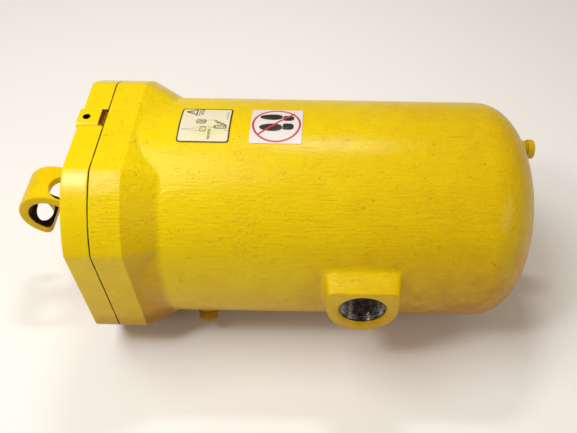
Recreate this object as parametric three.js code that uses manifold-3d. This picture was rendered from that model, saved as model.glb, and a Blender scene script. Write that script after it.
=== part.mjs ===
// A cylindrical hydraulic reservoir, lying on the flat of its square cover flange.
//
// Millimetres, +Z up. The tank's axis is parallel to X: the bolted cover and its lifting eye are at
// the -X end, the domed end is at +X, and the outlet port faces -Y. The origin is the bottom centre
// of the whole part.
//
// Inside a piece, "s" is the distance along the axis from the joint between cover and tank
// (positive toward the dome), "r" is the distance from the axis, and the clock angle is measured
// around the axis from the port side: 0 faces -Y, 90 faces +Z, 180 faces +Y.

import * as THREE from 'three';
import { ConvexGeometry } from 'three/addons/geometries/ConvexGeometry.js';
import { mergeVertices } from 'three/addons/utils/BufferGeometryUtils.js';
import Module from 'manifold-3d';

// ---------------------------------------------------------------- driving dimensions

const TANK_R = 115;               // outside of the tank's cylinder
const WALL = 8;                   // cast wall
const CYLINDER_END = 371;         // where the dome starts
const DOME_DEPTH = 62.5;          // how far the dome bulges past the cylinder
const DOME_POWER = 2.2;           // 2 is an ellipse, more is a fuller corner
const SIDES = 64;                 // facets round the tank

const FLAT_R = 117.5;             // flats of the square flange, from the axis
const CORNER_R = 132;             // its arc corners, centred on the axis
const FLANGE_T = 29;              // tank flange
const RAMP_END = 59.4;            // where the corner ramps meet the cylinder
const RAMP_HALF = 18;             // half angle of a ramp at the cylinder, degrees
const RAMP_FADE = 17.5;           // how far a ramp's side face runs on along the flat, degrees

const COVER_T = 25.2;             // cover plate
const GAP = 0.3;                  // joint between touching pieces
const SPIGOT_DEPTH = 12;          // the cover's register inside the tank
const SPIGOT_WALL = 12;

const PORT_S = 253;               // outlet port
const PORT_FACE_R = 134;
const PORT_HALF = 34.5;
const PORT_FLAT = 32;             // its flat side, toward +Z
const PORT_BORE_R = 22.25;
const PORT_INNER_R = 92;          // inner end of the port's boss

const SCREW_R = 119.5;            // cover screws, one in each corner
const SCREW_HEAD_R = 8;
const SCREW_SHANK_R = 4.8;
const SCREW_CLOCKS = [45, 135, 225, 315];

const DRAIN_R = 66;               // drain plug on the dome
const DRAIN_CLOCK = 135;
const DRAIN_TIP = 440.5;
const LEVEL_S = 87;               // level plug, underneath
const LEVEL_CLOCK = -45;

const EYE_S = -82;                // lifting eye
const EYE_Z = 1.5;
const EYE_OUT = 31.5;
const EYE_IN = 21;
const EYE_WIDTH = 46;

const TOTAL_MIN_S = EYE_S - EYE_OUT;
const MID_S = (TOTAL_MIN_S + DRAIN_TIP) / 2;
const MID_Y = (FLAT_R - PORT_FACE_R) / 2;

// ---------------------------------------------------------------- colours

function paint(color, roughness, metalness) {
  return new THREE.MeshStandardMaterial({ color, roughness, metalness });
}

const YELLOW = paint(0xeccd0a, 0.35, 0.0);
const STEEL = paint(0xa9acb0, 0.35, 1.0);
const DARK_STEEL = paint(0x33312f, 0.4, 1.0);
const RUBBER = paint(0x141414, 0.7, 0.0);
const COPPER = paint(0xb06a3a, 0.4, 1.0);
const MESH = paint(0xc8b27a, 0.5, 0.8);
const CREAM = paint(0xf0ead2, 0.6, 0.0);
const WHITE = paint(0xf3ecec, 0.6, 0.0);

// ---------------------------------------------------------------- joining and cutting

const wasm = await Module();
wasm.setup();

// A closed three.js geometry becomes a solid that can be joined and cut.
function solid(geometry) {
  const bare = geometry.clone();
  bare.deleteAttribute('normal');
  bare.deleteAttribute('uv');
  const merged = mergeVertices(bare, 1e-4);
  return new wasm.Manifold(new wasm.Mesh({
    numProp: 3,
    vertProperties: new Float32Array(merged.attributes.position.array),
    triVerts: new Uint32Array(merged.index.array),
  }));
}

function joined(solids) {
  return solids.reduce((all, next) => all.add(next));
}

function without(base, cutters) {
  return cutters.reduce((left, cutter) => left.subtract(cutter), base);
}

function meshOf(shape) {
  const data = shape.getMesh();
  const geometry = new THREE.BufferGeometry();
  geometry.setAttribute('position', new THREE.BufferAttribute(data.vertProperties, 3));
  geometry.setIndex(new THREE.BufferAttribute(data.triVerts, 1));
  geometry.computeVertexNormals();
  return geometry;
}

// ---------------------------------------------------------------- places

const radians = THREE.MathUtils.degToRad;

// A point at axial place s, radius r and clock angle.
function at(s, r, clock) {
  const a = radians(clock);
  return new THREE.Vector3(s, -r * Math.cos(a), r * Math.sin(a));
}

// A turned solid: its profile is a list of [radius, length] pairs, and it is laid along X.
function turnedX(profile, sides = SIDES) {
  const points = profile.map(([r, s]) => new THREE.Vector2(r, s));
  const shape = new THREE.LatheGeometry(points, sides);
  shape.rotateZ(-Math.PI / 2);
  return solid(shape);
}

// The same, but its length runs outward from the axis along a clock angle, at axial place s.
function turnedOut(profile, s, clock, sides = 32) {
  const points = profile.map(([r, out]) => new THREE.Vector2(r, out));
  const shape = new THREE.LatheGeometry(points, sides);
  const turn = new THREE.Quaternion().setFromUnitVectors(new THREE.Vector3(0, 1, 0), at(0, 1, clock));
  shape.applyQuaternion(turn);
  shape.translate(s, 0, 0);
  return solid(shape);
}

// A straight round bar along X, centred at radius r and a clock angle.
function barX(radius, from, to, r = 0, clock = 0, sides = 24) {
  const shape = new THREE.CylinderGeometry(radius, radius, to - from, sides);
  shape.rotateZ(Math.PI / 2);
  const place = at((from + to) / 2, r, clock);
  shape.translate(place.x, place.y, place.z);
  return solid(shape);
}

// A box from one corner to the other.
function box(low, high) {
  const size = high.map((value, i) => value - low[i]);
  const shape = new THREE.BoxGeometry(...size);
  shape.translate(...high.map((value, i) => (value + low[i]) / 2));
  return solid(shape);
}

// A flat outline given as [y, z] pairs, run along X.
function prismX(outline, from, to) {
  const flat = new THREE.Shape(outline.map(([y, z]) => new THREE.Vector2(y, z)));
  const shape = new THREE.ExtrudeGeometry(flat, { depth: to - from, bevelEnabled: false });
  shape.applyMatrix4(new THREE.Matrix4().set(0, 0, 1, from, 1, 0, 0, 0, 0, 1, 0, 0, 0, 0, 0, 1));
  return solid(shape);
}

function hull(points) {
  return solid(new ConvexGeometry(points));
}

// ---------------------------------------------------------------- the part

const part = new THREE.Group();
part.name = 'hydraulic_reservoir';
part.position.set(-MID_S, -MID_Y, FLAT_R);

function add(name, shape, material) {
  const mesh = new THREE.Mesh(meshOf(shape), material);
  mesh.name = name;
  part.add(mesh);
}

// The square flange's outline: four arcs about the axis, joined by the flats.
const ARC_HALF = 45 - THREE.MathUtils.radToDeg(Math.acos(FLAT_R / CORNER_R));

function flangeOutline() {
  const outline = [];
  for (const corner of SCREW_CLOCKS) {
    for (let i = 0; i <= 8; i += 1) {
      const spot = at(0, CORNER_R, corner + ARC_HALF * (i / 4 - 1));
      outline.push([spot.y, spot.z]);
    }
  }
  return outline.reverse();
}

// The radius of the flange's edge at an angle from a corner's middle.
function flangeRadius(fromCorner) {
  const fromFlat = 45 - Math.abs(fromCorner);
  return Math.min(CORNER_R, FLAT_R / Math.cos(radians(fromFlat)));
}

// ---- tank

// The dome's radius and depth at n steps, from the cylinder's end to its tip.
function dome(radius, depth, start, steps) {
  const points = [];
  for (let i = 0; i <= steps; i += 1) {
    const angle = (i / steps) * Math.PI / 2;
    const r = radius * Math.cos(angle) ** (2 / DOME_POWER);
    const s = depth * Math.sin(angle) ** (2 / DOME_POWER);
    points.push([i === steps ? 0 : r, start + s]);
  }
  return points;
}

// A ramp behind one corner of the flange, over the thread of its cover screw.
function cornerRamp(corner) {
  const points = [];
  const reach = ARC_HALF + RAMP_FADE;
  for (let i = 0; i <= 14; i += 1) {
    const turn = reach * (i / 7 - 1);
    points.push(at(FLANGE_T, flangeRadius(turn), corner + turn));
    points.push(at(FLANGE_T - 2, 104, corner + turn));
  }
  for (let i = 0; i <= 8; i += 1) {
    const turn = RAMP_HALF * (i / 4 - 1);
    points.push(at(RAMP_END, TANK_R - 0.6, corner + turn));
    points.push(at(RAMP_END, 104, corner + turn));
  }
  return hull(points);
}

// The port's boss: flat toward +Z, half-round below, drafted toward its face.
function portBoss() {
  const points = [];
  for (const [out, grow] of [[88, 7], [PORT_FACE_R - 2, 0.6], [PORT_FACE_R, -1]]) {
    const half = PORT_HALF + grow;
    for (let i = 0; i <= 16; i += 1) {
      const a = Math.PI * (1 + i / 16);
      points.push(new THREE.Vector3(PORT_S + half * Math.cos(a), -out, half * Math.sin(a)));
    }
    points.push(new THREE.Vector3(PORT_S - half, -out, PORT_FLAT + grow));
    points.push(new THREE.Vector3(PORT_S + half, -out, PORT_FLAT + grow));
  }
  return hull(points);
}

const DRAIN_SEAT = 431;
const LEVEL_SEAT = 118;

function tank() {
  const outside = joined([
    turnedX([[0, 0], [TANK_R, 0], ...dome(TANK_R, DOME_DEPTH, CYLINDER_END, 10)]),
    prismX(flangeOutline(), 0, FLANGE_T),
    ...SCREW_CLOCKS.map(cornerRamp),
    portBoss(),
    turnedOut([[0, 96], [12.5, 96], [11.5, LEVEL_SEAT], [0, LEVEL_SEAT]], LEVEL_S, LEVEL_CLOCK),
    barX(9.5, 400, DRAIN_SEAT, DRAIN_R, DRAIN_CLOCK),
  ]);
  const inside = TANK_R - WALL;
  const hollow = turnedX([[0, -5], [inside, -5], ...dome(inside, DOME_DEPTH - WALL, CYLINDER_END, 10)]);
  const portBody = turnedOut([[0, PORT_INNER_R], [31, PORT_INNER_R], [31, 112], [0, 112]], PORT_S, 0);
  const shell = outside.subtract(hollow).add(portBody);
  return without(shell, [
    turnedOut([[0, 80], [PORT_BORE_R, 80], [PORT_BORE_R, PORT_FACE_R - 2.5],
      [PORT_BORE_R + 3, PORT_FACE_R + 0.5], [0, PORT_FACE_R + 0.5]], PORT_S, 0, 48),
    turnedOut([[0, 80], [6.8, 80], [6.8, 130], [0, 130]], LEVEL_S, LEVEL_CLOCK),
    barX(6.8, 380, DRAIN_SEAT + 5, DRAIN_R, DRAIN_CLOCK),
    ...SCREW_CLOCKS.map((clock) => barX(SCREW_SHANK_R + GAP, -5, 24, SCREW_R, clock)),
  ]);
}

add('reservoir_body', tank(), YELLOW);

// ---- cover: a plate with a register inside the tank, counterbored corners and a vent pad

const SPIGOT_R = TANK_R - WALL - 0.5;
const GROOVE_R = SPIGOT_R - 3.5;
const PAD_TOP = FLAT_R + 2.6;
const PAD_FRONT = -COVER_T - 1.2;
const VENT = [-18, 7.5];

function cover() {
  const spigot = turnedX([
    [SPIGOT_R - SPIGOT_WALL, -8], [SPIGOT_R, -8], [SPIGOT_R, 3], [GROOVE_R, 3], [GROOVE_R, 7],
    [SPIGOT_R, 7], [SPIGOT_R, SPIGOT_DEPTH], [SPIGOT_R - SPIGOT_WALL, SPIGOT_DEPTH],
    [SPIGOT_R - SPIGOT_WALL, -8],
  ]);
  const plate = prismX(flangeOutline(), -COVER_T, -GAP);
  const pad = hull([PAD_FRONT, -GAP].flatMap((s) => [
    [-4.4, 92], [20.4, 92], [20.4, FLAT_R], [19, PAD_TOP], [-1.4, PAD_TOP], [-4.4, FLAT_R - 0.4],
  ].map(([y, z]) => new THREE.Vector3(s, y, z))));
  return without(joined([plate, spigot, pad]), [
    ...SCREW_CLOCKS.map((clock) => barX(SCREW_SHANK_R + 0.7, -COVER_T - 5, 5, SCREW_R, clock)),
    ...SCREW_CLOCKS.map((clock) => barX(SCREW_HEAD_R + 0.6, -COVER_T - 5, -COVER_T + 11, SCREW_R, clock)),
    turnedOut([[0, 101], [3.4, 101], [3.4, 130], [0, 130]], VENT[0], 90, 16).translate([0, VENT[1], 0]),
    box([-4.6, -2, 115.6], [5, 18, 130]),
  ]);
}

add('end_cover', cover(), YELLOW);

add('cover_seal', turnedX(ringSection(105.1, 5, 1.5, 6), 48), RUBBER);

// A round section for a ring, closed on itself.
function ringSection(radius, s, thick, steps) {
  const points = [];
  for (let i = 0; i <= steps; i += 1) {
    const a = (2 * Math.PI * (i % steps)) / steps;
    points.push([radius + thick * Math.cos(a), s + thick * Math.sin(a)]);
  }
  return points;
}

// ---- cover screws, with hexagon sockets

function coverScrew(clock) {
  const head = barX(SCREW_HEAD_R, -COVER_T + 0.9, -COVER_T + 10.7, SCREW_R, clock);
  const shank = barX(SCREW_SHANK_R, -COVER_T + 9, 22, SCREW_R, clock, 16);
  const socket = barX(4.6, -COVER_T - 2, -COVER_T + 6, SCREW_R, clock, 6);
  return head.add(shank).subtract(socket);
}

SCREW_CLOCKS.forEach((clock, i) => add(`cover_screw_${i + 1}`, coverScrew(clock), DARK_STEEL));

const ventScrew = turnedOut([[0, 101.4], [3, 101.4], [3, 110], [0, 110]], VENT[0], 90, 12);
const ventSocket = turnedOut([[0, 107], [1.6, 107], [1.6, 112], [0, 112]], VENT[0], 90, 6);
add('vent_screw', ventScrew.subtract(ventSocket).translate([0, VENT[1], 0]), DARK_STEEL);

// ---- lifting eye: a wide strap curled forward into an open ring, on a block against the cover

// A slice of a ring about the eye's axis, between two angles in the plane of X and Z.
function ringSlice(inner, outer, from, to, near, far, steps) {
  const flat = new THREE.Shape();
  for (let i = 0; i <= steps; i += 1) {
    const a = radians(from + ((to - from) * i) / steps);
    flat[i ? 'lineTo' : 'moveTo'](outer * Math.cos(a), outer * Math.sin(a));
  }
  for (let i = steps; i >= 0; i -= 1) {
    const a = radians(from + ((to - from) * i) / steps);
    flat.lineTo(inner * Math.cos(a), inner * Math.sin(a));
  }
  const shape = new THREE.ExtrudeGeometry(flat, { depth: far - near, bevelEnabled: false });
  shape.rotateX(Math.PI / 2);
  shape.translate(EYE_S, far, EYE_Z);
  return solid(shape);
}

// An oval window's cutter through the strap: half the angle along the strap and half the width.
function window(middle, halfAngle, y, halfWidth) {
  const points = [];
  for (const radius of [EYE_IN - 3, EYE_OUT + 3]) {
    for (let i = 0; i < 28; i += 1) {
      const t = (2 * Math.PI * i) / 28;
      const a = radians(middle + halfAngle * Math.cos(t));
      const across = y + halfWidth * Math.sin(t);
      points.push(new THREE.Vector3(EYE_S + radius * Math.cos(a), across, EYE_Z + radius * Math.sin(a)));
    }
  }
  return hull(points);
}

function liftingEye() {
  const half = EYE_WIDTH / 2;
  const strap = ringSlice(EYE_IN, EYE_OUT, 0, 258, -half, half, 34);
  const seat = -COVER_T - GAP;
  const block = box([EYE_S + EYE_IN + 3, -half, -17], [seat, half, 27]);
  const foot = turnedX([[0, -COVER_T - 7], [31, -COVER_T - 7], [34, seat], [0, seat]], 32);
  const bore = ringSlice(0, EYE_IN, 0, 359.9, -half - 2, half + 2, 40);
  const lowerWindow = window(224, 26, 0, 15.2);
  const upperWindow = window(58, 24, -5.5, 14.6);
  return without(joined([strap, block, foot]).subtract(bore), [lowerWindow, upperWindow]);
}

add('lifting_eye', liftingEye(), YELLOW);

// ---- plugs and their washers

function drainWasher() {
  const ring = barX(9.6, DRAIN_SEAT + GAP, DRAIN_SEAT + 1.6, DRAIN_R, DRAIN_CLOCK);
  return ring.subtract(barX(7.2, DRAIN_SEAT - 1, DRAIN_SEAT + 3, DRAIN_R, DRAIN_CLOCK));
}

function drainPlug() {
  const head = turnedX([[0, DRAIN_SEAT + 1.9], [10.4, DRAIN_SEAT + 1.9], [10.4, DRAIN_TIP - 2],
    [8.6, DRAIN_TIP], [0, DRAIN_TIP]], 24);
  const place = at(0, DRAIN_R, DRAIN_CLOCK);
  const socket = barX(4, DRAIN_TIP - 4, DRAIN_TIP + 2, DRAIN_R, DRAIN_CLOCK, 6);
  const shank = barX(6.4, 413, DRAIN_SEAT + 3, DRAIN_R, DRAIN_CLOCK);
  return head.translate([0, place.y, place.z]).add(shank).subtract(socket);
}

function levelWasher() {
  const outer = LEVEL_SEAT + 1.6;
  return turnedOut([[7.2, LEVEL_SEAT + GAP], [10.8, LEVEL_SEAT + GAP], [10.8, outer], [7.2, outer],
    [7.2, LEVEL_SEAT + GAP]], LEVEL_S, LEVEL_CLOCK, 24);
}

function levelPlug() {
  const foot = LEVEL_SEAT + 1.9;
  return turnedOut([[0, 104], [6.4, 104], [6.4, foot], [10, foot], [10, foot + 5], [8.6, foot + 8.6],
    [5.4, foot + 10.8], [0, foot + 11.6]], LEVEL_S, LEVEL_CLOCK, 24);
}

add('drain_washer', drainWasher(), COPPER);
add('drain_plug', drainPlug(), YELLOW);
add('level_washer', levelWasher(), COPPER);
add('level_plug', levelPlug(), YELLOW);

// ---- decals: thin curved sheets on top of the tank

function decal(from, to, middle, half) {
  const outline = [];
  for (let i = 0; i <= 8; i += 1) {
    const spot = at(0, TANK_R + 0.6, middle + half * (i / 4 - 1));
    outline.push([spot.y, spot.z]);
  }
  for (let i = 8; i >= 0; i -= 1) {
    const spot = at(0, TANK_R + GAP, middle + half * (i / 4 - 1));
    outline.push([spot.y, spot.z]);
  }
  return prismX(outline.reverse(), from, to);
}

add('caution_decal', decal(71.4, 121.7, 93, 12.5), CREAM);
add('no_step_decal', decal(141, 191.5, 93, 12.5), WHITE);

// ---- suction strainer, screwed into the port's inner end

const COLLAR = [80, 91.6];
const SCREEN = [-20, 71.4];
const BLOCK_END = -64;

function strainerNipple() {
  const round = turnedOut([[0, 72.2], [17, 72.2], [17, 86], [21.6, 86], [21.6, 104], [0, 104]], PORT_S, 0);
  const hexagon = turnedOut([[0, COLLAR[0]], [29, COLLAR[0]], [29, COLLAR[1]], [0, COLLAR[1]]], PORT_S, 0, 6);
  const bore = turnedOut([[0, 60], [14, 60], [14, 110], [0, 110]], PORT_S, 0);
  return round.add(hexagon).subtract(bore);
}

function strainerBaseCap() {
  return turnedOut([[17.3, 72], [34, 72], [34, 79.7], [17.3, 79.7], [17.3, 72]], PORT_S, 0);
}

// A folded sheet, closed round the port's axis.
function strainerScreen() {
  const folds = 22;
  const ring = (grow) => {
    const points = [];
    for (let i = 0; i < 2 * folds; i += 1) {
      const a = (Math.PI * i) / folds;
      const r = (i % 2 ? 24.6 : 31.5) + grow;
      points.push(new THREE.Vector2(r * Math.cos(a), r * Math.sin(a)));
    }
    return points;
  };
  const flat = new THREE.Shape(ring(0));
  flat.holes.push(new THREE.Path(ring(-1.8)));
  const length = SCREEN[1] - SCREEN[0];
  const shape = new THREE.ExtrudeGeometry(flat, { depth: length, bevelEnabled: false });
  shape.rotateX(Math.PI / 2);
  shape.translate(PORT_S, -SCREEN[0], 0);
  return solid(shape);
}

function strainerCore() {
  const tube = turnedOut([[18.6, SCREEN[0]], [21, SCREEN[0]], [21, SCREEN[1]], [18.6, SCREEN[1]],
    [18.6, SCREEN[0]]], PORT_S, 0, 24);
  const windows = [];
  for (let row = 0; row < 4; row += 1) {
    const middle = -(SCREEN[0] + 14 + row * 21);
    windows.push(box([PORT_S - 6, middle - 6, -30], [PORT_S + 6, middle + 6, 30]));
    windows.push(box([PORT_S - 30, middle - 6, -6], [PORT_S + 30, middle + 6, 6]));
  }
  return without(tube, windows);
}

// ---- bypass valve: a cross bore in the strainer's end block, with its axis along Z

const VALVE_Y = 44;
const SEAT_Z = 12;

// A turned solid whose length runs along +Z, on the valve's axis.
function turnedZ(profile, sides = 24) {
  const shape = new THREE.LatheGeometry(profile.map(([r, z]) => new THREE.Vector2(r, z)), sides);
  shape.rotateX(Math.PI / 2);
  shape.translate(PORT_S, VALVE_Y, 0);
  return solid(shape);
}

function endBlock() {
  const outside = turnedOut([[0, BLOCK_END], [24, BLOCK_END], [25, BLOCK_END + 2], [25, -30], [34, -28],
    [34, SCREEN[0] - GAP], [0, SCREEN[0] - GAP]], PORT_S, 0);
  return without(outside, [
    turnedOut([[0, -VALVE_Y], [11, -VALVE_Y], [11, -10], [0, -10]], PORT_S, 0, 24),
    turnedZ([[0, -40], [13, -40], [13, SEAT_Z], [0, SEAT_Z]]),
    turnedZ([[0, 0], [9, 0], [9, 40], [0, 40]]),
  ]);
}

function bypassRetainer() {
  return turnedZ([[5, -20], [12.6, -20], [12.6, -14], [5, -14], [5, -20]]);
}

function bypassPoppet() {
  return turnedZ([[0, -9], [3.4, -9], [3.4, SEAT_Z - 4.3], [12, SEAT_Z - 4.3], [12, SEAT_Z - GAP],
    [7.6, SEAT_Z - GAP], [5, SEAT_Z + 2.6], [0, SEAT_Z + 2.6]]);
}

class Coil extends THREE.Curve {
  getPoint(t) {
    const a = t * 2 * Math.PI * 4;
    const z = -13 + 19.6 * t;
    return new THREE.Vector3(PORT_S + 7.4 * Math.cos(a), VALVE_Y + 7.4 * Math.sin(a), z);
  }
}

function bypassSpring() {
  const wire = new THREE.Shape();
  for (let i = 0; i < 6; i += 1) {
    const a = (i * Math.PI) / 3;
    wire[i ? 'lineTo' : 'moveTo'](0.7 * Math.cos(a), 0.7 * Math.sin(a));
  }
  return solid(new THREE.ExtrudeGeometry(wire, { steps: 64, extrudePath: new Coil() }));
}

add('strainer_nipple', strainerNipple(), STEEL);
add('strainer_base_cap', strainerBaseCap(), STEEL);
add('strainer_screen', strainerScreen(), MESH);
add('strainer_core', strainerCore(), STEEL);
add('strainer_end_block', endBlock(), STEEL);
add('bypass_retainer', bypassRetainer(), DARK_STEEL);
add('bypass_poppet', bypassPoppet(), STEEL);
add('bypass_spring', bypassSpring(), DARK_STEEL);

export default part;
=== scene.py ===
# %% [markdown]
# # A cast hydraulic reservoir
#
# The real object is a heavy cast oil tank, brushed with glossy yellow enamel: a round barrel with
# a domed end, a square flange with a cover bolted to it, a curled lifting eye, a big threaded
# outlet, two small plugs and two printed labels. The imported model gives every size. This lesson
# makes the fine surface over it, piece by piece, and then the paint.

# %% Load the frame
import math

import bmesh
import bpy
import numpy as np
from mathutils import Matrix, Vector


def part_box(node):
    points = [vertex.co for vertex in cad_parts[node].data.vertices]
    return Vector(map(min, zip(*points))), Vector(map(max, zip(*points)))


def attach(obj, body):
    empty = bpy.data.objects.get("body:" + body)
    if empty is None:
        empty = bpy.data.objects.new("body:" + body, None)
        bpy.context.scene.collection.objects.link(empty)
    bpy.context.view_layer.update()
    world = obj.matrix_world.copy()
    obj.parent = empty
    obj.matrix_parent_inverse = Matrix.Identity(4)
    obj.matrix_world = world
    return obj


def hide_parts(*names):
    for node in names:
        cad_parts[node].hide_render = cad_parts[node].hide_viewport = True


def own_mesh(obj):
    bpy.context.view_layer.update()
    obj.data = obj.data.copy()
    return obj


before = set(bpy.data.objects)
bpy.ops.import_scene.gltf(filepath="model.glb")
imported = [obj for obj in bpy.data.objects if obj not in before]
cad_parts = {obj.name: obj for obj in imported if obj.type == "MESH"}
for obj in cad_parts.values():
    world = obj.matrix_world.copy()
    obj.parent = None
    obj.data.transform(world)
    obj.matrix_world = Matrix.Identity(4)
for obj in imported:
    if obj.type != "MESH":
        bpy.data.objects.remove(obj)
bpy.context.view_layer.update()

# %% [markdown]
# The tank's axis is parallel to X. Everything is easiest to describe by three numbers: `s`, the
# distance along the axis from the joint between cover and tank, `r`, the distance from the axis,
# and `clock`, the angle round it, with 0 facing -Y and 90 facing up. The joint lies where the
# tank's node begins, and the axis lies half-way between the flange's flats.

# %% Sizes and places
tank_low, tank_high = (np.array(p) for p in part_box("reservoir_body"))
S0 = float(tank_low[0])
FLAT_R = 0.1175
AXIS_Y = float(tank_high[1]) - FLAT_R
AXIS_Z = float(tank_low[2]) + FLAT_R
CORNER_R = 0.132
TANK_R = 0.115
WALL = 0.008
FLANGE_T = 0.029
RAMP_END = 0.0594
CYLINDER_END = 0.371
DOME_DEPTH = 0.0625
DOME_POWER = 2.2
COVER_T = 0.0252
MM = 0.001


def place(s, r, clock):
    """Points from axial place, radius and clock angle in radians: X runs along the axis."""
    s, r, clock = np.broadcast_arrays(s, r, clock)
    return np.stack([S0 + s, AXIS_Y - r * np.cos(clock), AXIS_Z + r * np.sin(clock)], axis=-1)


print("joint at x =", round(S0, 4), "axis at y, z =", round(AXIS_Y, 4), round(AXIS_Z, 4))

# %% [markdown]
# Every new piece is a grid of points that is worked out at once with numpy. Two helpers turn such
# grids into meshes. The first lists the four-sided faces of a grid, joining the last column to the
# first when the grid goes all the way round. The second makes the object and recalculates which
# way its faces point, after merging points that coincide.

# %% Grid helpers
def grid_faces(rows, cols, closed=True):
    """Quads of a rows x cols grid: point (i, j) is number i * cols + j."""
    i = np.arange(rows - 1)[:, None]
    j = np.arange(cols if closed else cols - 1)[None, :]
    k = (j + 1) % cols
    quad = [i * cols + j, i * cols + k, (i + 1) * cols + k, (i + 1) * cols + j]
    return np.stack([np.broadcast_to(q, (rows - 1, j.size)) for q in quad], axis=-1).reshape(-1, 4)


def make_piece(name, points, faces, body, slot, *nodes, sharp=35.0, merge=1e-6):
    """A smooth mesh object with sharp creases over an angle, riding on a body of the model."""
    mesh = bpy.data.meshes.new(name)
    corners = faces.tolist() if hasattr(faces, "tolist") else faces
    mesh.from_pydata(points.reshape(-1, 3).tolist(), [], corners)
    tidy = bmesh.new()
    tidy.from_mesh(mesh)
    bmesh.ops.remove_doubles(tidy, verts=tidy.verts, dist=merge)
    bmesh.ops.dissolve_degenerate(tidy, edges=tidy.edges, dist=merge)
    bmesh.ops.recalc_face_normals(tidy, faces=tidy.faces)
    tidy.to_mesh(mesh)
    tidy.free()
    mesh.shade_smooth()
    mesh.set_sharp_from_angle(angle=math.radians(sharp))
    piece = bpy.data.objects.new(name, mesh)
    bpy.context.scene.collection.objects.link(piece)
    if body:
        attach(piece, body)
    if nodes:
        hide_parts(*nodes)
    print(f"{name}: {len(mesh.polygons)} faces")
    return piece


# %% [markdown]
# The barrel is one surface: at every place along the axis and every clock angle there is one
# radius. The cylinder and dome give one radius, and the flange with its corner ramps another; the
# larger wins. A casting has no knife edges, so the choice between two radii is a soft one, which
# leaves a small fillet where they meet.

# %% Soft choice and the flange's outline
EASE = 0.0012  # how softly the flange's flats and corners meet


def soft_max(a, b, width):
    """The larger of two, rounded where they are within width of each other."""
    h = np.clip(0.5 + 0.5 * (a - b) / width, 0, 1)
    return b + (a - b) * h + width * h * (1 - h)


def soft_min(a, b, width):
    return -soft_max(-a, -b, width)


def from_corner(clock):
    """The angle from the nearest corner of the square, between -45 and 45 degrees, in radians."""
    return clock % (math.pi / 2) - math.pi / 4


def flange_radius(clock):
    """A square with arc corners about its own centre: the smaller of the flat's and the arc's radius."""
    straight = FLAT_R / np.cos(math.pi / 4 - np.abs(from_corner(clock)))
    return soft_min(straight, np.full_like(straight, CORNER_R), EASE)


def dome_radius(s):
    """A full half-oval: (along / depth)^p + (r / radius)^p = 1."""
    along = np.clip((s - CYLINDER_END) / DOME_DEPTH, 0, 1)
    return TANK_R * (1 - along**DOME_POWER) ** (1 / DOME_POWER)


def ramp_radius(s, clock):
    """Behind a corner, the radius falls evenly to the barrel's; beside it, a flat facet cuts it off."""
    fall = np.clip((s - FLANGE_T) / (RAMP_END - FLANGE_T), 0, 1.5)
    cone = CORNER_R + (TANK_R - CORNER_R) * fall
    facet_end = TANK_R * math.cos(math.radians(27.1))
    facet = FLAT_R + (facet_end - FLAT_R) * fall
    side = facet / np.cos(math.pi / 4 - np.abs(from_corner(clock)))
    return soft_min(cone, side, EASE)


def barrel_radius(s, clock):
    """The whole outside of the tank but for its flange's end face."""
    s, clock = np.broadcast_arrays(s, clock)
    plain = dome_radius(s)
    ramp = np.where(s < FLANGE_T, flange_radius(clock), ramp_radius(s, clock))
    near = s < RAMP_END + 0.012
    return np.where(near, soft_max(plain, ramp, 0.0014), plain)


# %% [markdown]
# The rows of the grid lie close together where the shape turns, and far apart along the plain
# barrel. The grid starts in the mouth, crosses the flange's face, turns its rounded edge, runs
# along the outside to the tip of the dome, and comes back along the inside, so that the wall has
# its real thickness. Where the port's boss goes through the wall, cells are left out of both
# skins and their edges are joined, and the boss fills the hole.

# %% The tank's shell
COLS = 384
clock = np.arange(COLS) * 2 * math.pi / COLS
along = np.concatenate([
    [0.0012], np.linspace(0.004, FLANGE_T - 0.002, 9), np.linspace(FLANGE_T - 0.001, RAMP_END + 0.006, 46),
    np.linspace(RAMP_END + 0.010, 0.212, 22), np.linspace(0.216, 0.290, 20),
    np.linspace(0.298, CYLINDER_END, 10)])
lip = 0.0011
turn = np.linspace(0, math.pi / 2, 5)[:-1]
dome_turn = np.linspace(0, math.pi / 2, 40)[1:]


def dome_rows(radius, depth):
    """Places and radii down the dome, spaced evenly by angle, so the tip is as smooth as the side."""
    s = CYLINDER_END + depth * np.sin(dome_turn) ** (2 / DOME_POWER)
    r = radius * np.maximum(np.cos(dome_turn), 0) ** (2 / DOME_POWER)
    r[-1] = 0
    return s, r


def shell_points():
    """Outer skin from the mouth to the dome's tip, then the inner skin back to the mouth."""
    edge = barrel_radius(0.0, clock)
    rows = [place(0.0, np.full(COLS, TANK_R - WALL + 0.0006), clock), place(0.0, (edge + 0.104) / 2, clock)]
    rows += [place(lip * (1 - math.cos(t)), edge - lip * (1 - math.sin(t)), clock) for t in turn]
    outer = place(along[:, None], barrel_radius(along[:, None], clock[None, :]), clock[None, :])
    s, r = dome_rows(TANK_R, DOME_DEPTH)
    tip = place(s[:, None], r[:, None] * np.ones(COLS), clock[None, :])
    inside = TANK_R - WALL
    s2, r2 = dome_rows(inside, DOME_DEPTH - WALL)
    inner_tip = place(s2[::-1, None], r2[::-1, None] * np.ones(COLS), clock[None, :])
    inner = place(along[::-1, None], np.full((1, COLS), inside), clock[None, :])
    mouth = place(0.0006, np.full(COLS, inside), clock)
    return np.concatenate([np.array(rows), outer, tip, inner_tip, inner, mouth[None]]), len(rows)


shell, first_outer = shell_points()
PORT_S = 0.253
round_skin = TANK_R * (np.mod(clock[None, :] + math.pi, 2 * math.pi) - math.pi)
hole = ((along[:, None] - PORT_S) ** 2 + round_skin**2) < 0.028**2
hole_cell = hole[:-1] & hole[1:]
hole_cell = hole_cell & np.roll(hole_cell, -1, axis=1)


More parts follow.
